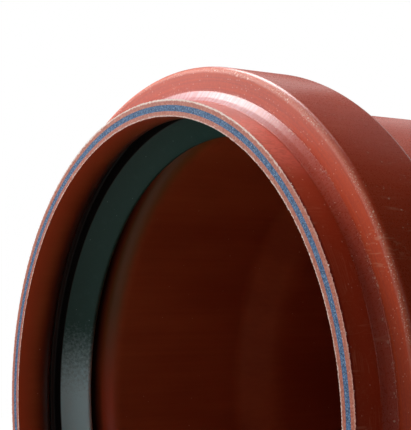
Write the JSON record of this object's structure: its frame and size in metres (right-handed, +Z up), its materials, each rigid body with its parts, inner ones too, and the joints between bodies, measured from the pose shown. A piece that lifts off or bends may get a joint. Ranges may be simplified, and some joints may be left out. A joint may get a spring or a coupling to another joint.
{
  "type": "plastic sewer pipe",
  "caption": "Plastic sewer pipe with a three-layer wall, a push-fit socket, a rubber sealing ring in its bead and a chamfered spigot.",
  "frame": {"origin": "on the floor, under the middle of the pipe's box", "axes": "+X along the pipe in plan, from the socket's mouth to the spigot; +Z up. The pipe lies on its bead and on its spigot, so its axis falls 1.56 degrees towards +X"},
  "size_m": [0.5922, 0.1899, 0.1904],
  "materials": {
    "outer_plastic": "orange-brown, smooth and glossy, fine scratches",
    "core_plastic": "blue-grey, speckled, sawn",
    "inner_plastic": "orange-brown, smooth",
    "ring_rubber": "dark green-grey, matt"
  },
  "bodies": {
    "root": {"outer_layer": "outer_plastic", "core_layer": "core_plastic", "inner_layer": "inner_plastic", "sealing_ring": "ring_rubber"}
  },
  "joints": []
}
